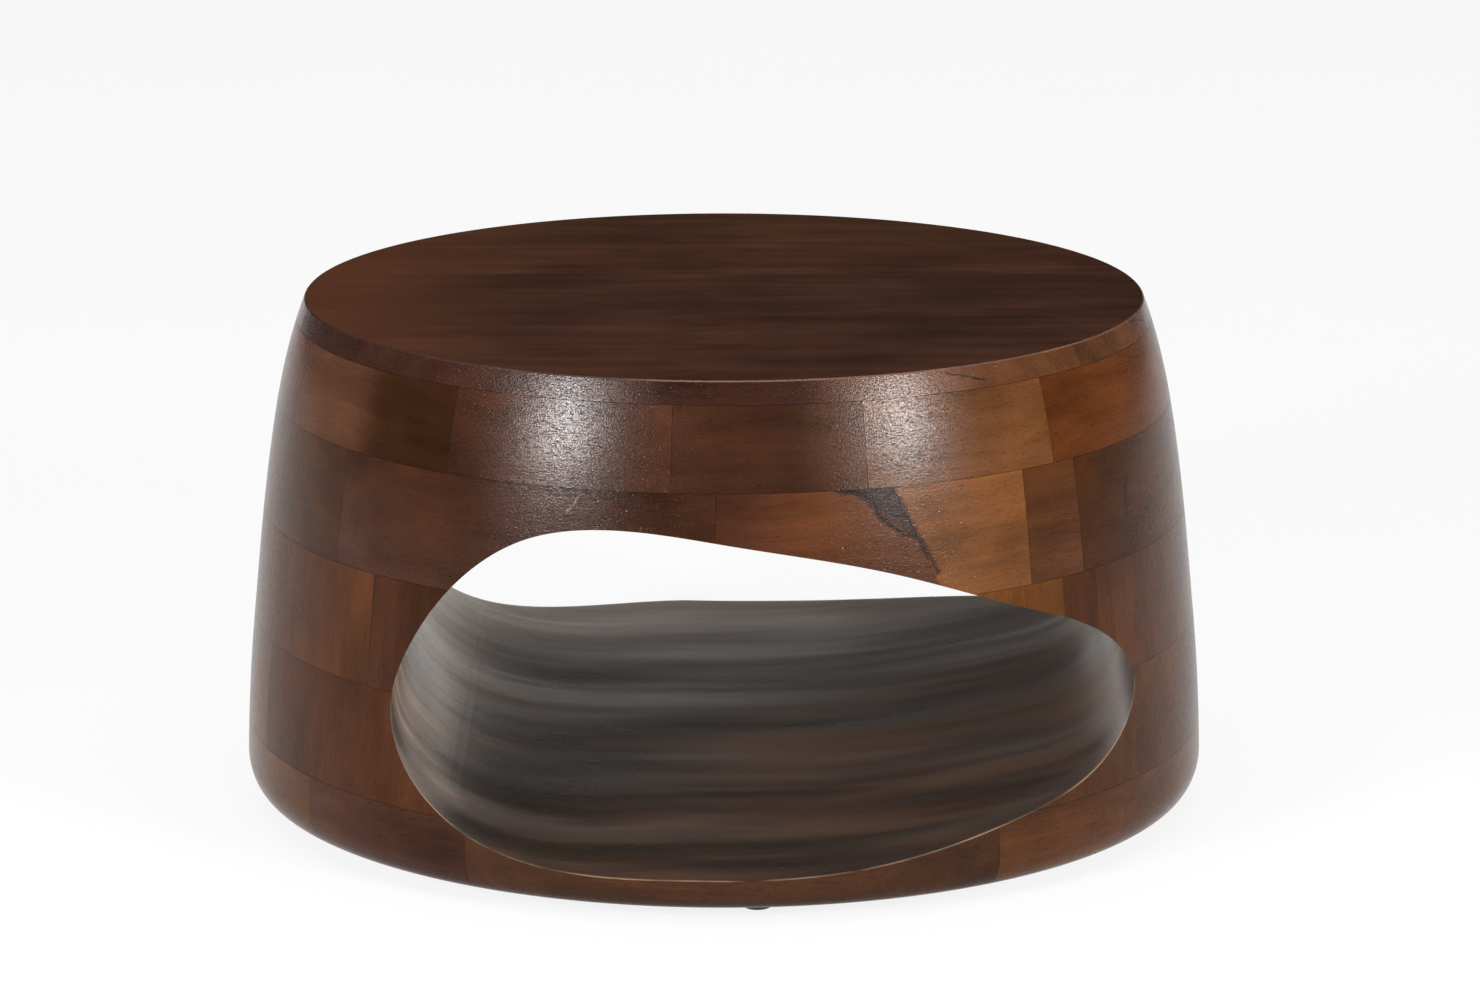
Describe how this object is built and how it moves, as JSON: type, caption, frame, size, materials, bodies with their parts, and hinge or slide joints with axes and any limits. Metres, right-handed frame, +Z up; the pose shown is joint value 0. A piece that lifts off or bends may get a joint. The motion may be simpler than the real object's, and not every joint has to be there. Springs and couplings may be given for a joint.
{
  "type": "drum coffee table",
  "caption": "Low round laminated wood drum table with a lopsided egg-shaped tunnel carved through it from front to back, on levelling feet.",
  "frame": {"origin": "on the floor under the middle of the drum", "axes": "+X to the right seen from the front, +Y from the front to the back along the tunnel, +Z up"},
  "size_m": [0.8884, 0.8883, 0.469],
  "materials": {
    "stained_top_wood": "dark walnut stain under satin lacquer, grain from left to right",
    "stained_block_wood": "walnut stain under satin lacquer, each block a little different",
    "carved_wood": "charcoal brown stain, carved and sanded smooth, satin",
    "bare_wood": "planed, unfinished",
    "foot_plastic": "moulded black nylon",
    "stem_steel": "zinc-plated steel",
    "insert_steel": "zinc-plated steel"
  },
  "bodies": {
    "drum": {"arch_block_1": "stained_block_wood", "arch_block_2": "stained_block_wood", "arch_block_3": "stained_block_wood", "arch_block_4": "stained_block_wood", "arch_block_5": "stained_block_wood", "arch_block_6": "stained_block_wood", "arch_block_7": "stained_block_wood", "arch_block_8": "stained_block_wood", "arch_block_9": "stained_block_wood", "base_block_1": "stained_block_wood", "base_block_2": "stained_block_wood", "base_block_3": "stained_block_wood", "base_block_4": "stained_block_wood", "base_block_5": "stained_block_wood", "base_block_6": "stained_block_wood", "base_block_7": "stained_block_wood", "base_block_8": "stained_block_wood", "floor_plank_1": "carved_wood", "floor_plank_2": "carved_wood", "floor_plank_3": "carved_wood", "floor_plank_4": "carved_wood", "lower_side_block_1": "stained_block_wood", "lower_side_block_2": "stained_block_wood", "lower_side_block_3": "stained_block_wood", "lower_side_block_4": "stained_block_wood", "lower_side_block_5": "stained_block_wood", "rim_block_1": "stained_block_wood", "rim_block_10": "stained_block_wood", "rim_block_11": "stained_block_wood", "rim_block_2": "stained_block_wood", "rim_block_3": "stained_block_wood", "rim_block_4": "stained_block_wood", "rim_block_5": "stained_block_wood", "rim_block_6": "stained_block_wood", "rim_block_7": "stained_block_wood", "rim_block_8": "stained_block_wood", "rim_block_9": "stained_block_wood", "roof_core": "carved_wood", "top_battens": "bare_wood", "top_board_1": "stained_top_wood", "top_board_2": "stained_top_wood", "top_board_3": "stained_top_wood", "top_board_4": "stained_top_wood", "top_board_5": "stained_top_wood", "upper_side_block_1": "stained_block_wood", "upper_side_block_2": "stained_block_wood", "upper_side_block_3": "stained_block_wood", "upper_side_block_4": "stained_block_wood", "upper_side_block_5": "stained_block_wood", "upper_side_block_6": "stained_block_wood", "upper_side_block_7": "stained_block_wood", "threaded_inserts": "insert_steel"},
    "foot_pad_1": {"foot_pad_1": "foot_plastic"},
    "foot_stem_1": {"foot_stem_1": "stem_steel"},
    "foot_pad_2": {"foot_pad_2": "foot_plastic"},
    "foot_stem_2": {"foot_stem_2": "stem_steel"},
    "foot_pad_3": {"foot_pad_3": "foot_plastic"},
    "foot_stem_3": {"foot_stem_3": "stem_steel"},
    "foot_pad_4": {"foot_pad_4": "foot_plastic"},
    "foot_stem_4": {"foot_stem_4": "stem_steel"}
  },
  "joints": [
    {"name": "foot_1_lift", "type": "slide", "parent": "drum", "child": "foot_pad_1", "axis": [0, 0, -1], "range_m": [0, 0.01]},
    {"name": "foot_1_turn", "type": "hinge", "parent": "foot_pad_1", "child": "foot_stem_1", "pos_m": [0.02894, -0.38491, 0.012], "axis": [0, 0, -1], "range_deg": [-10, 2895]},
    {"name": "foot_2_lift", "type": "slide", "parent": "drum", "child": "foot_pad_2", "axis": [0, 0, -1], "range_m": [0, 0.01]},
    {"name": "foot_2_turn", "type": "hinge", "parent": "foot_pad_2", "child": "foot_stem_2", "pos_m": [0.38491, 0.02894, 0.012], "axis": [0, 0, -1], "range_deg": [-10, 2895]},
    {"name": "foot_3_lift", "type": "slide", "parent": "drum", "child": "foot_pad_3", "axis": [0, 0, -1], "range_m": [0, 0.01]},
    {"name": "foot_3_turn", "type": "hinge", "parent": "foot_pad_3", "child": "foot_stem_3", "pos_m": [-0.02894, 0.38491, 0.012], "axis": [0, 0, -1], "range_deg": [-10, 2895]},
    {"name": "foot_4_lift", "type": "slide", "parent": "drum", "child": "foot_pad_4", "axis": [0, 0, -1], "range_m": [0, 0.01]},
    {"name": "foot_4_turn", "type": "hinge", "parent": "foot_pad_4", "child": "foot_stem_4", "pos_m": [-0.38491, -0.02894, 0.012], "axis": [0, 0, -1], "range_deg": [-10, 2895]}
  ],
  "couplings": [
    {"joint": "foot_1_turn", "follows": "foot_1_lift", "rad_per_m": 5026.5},
    {"joint": "foot_2_turn", "follows": "foot_2_lift", "rad_per_m": 5026.5},
    {"joint": "foot_3_turn", "follows": "foot_3_lift", "rad_per_m": 5026.5},
    {"joint": "foot_4_turn", "follows": "foot_4_lift", "rad_per_m": 5026.5}
  ]
}
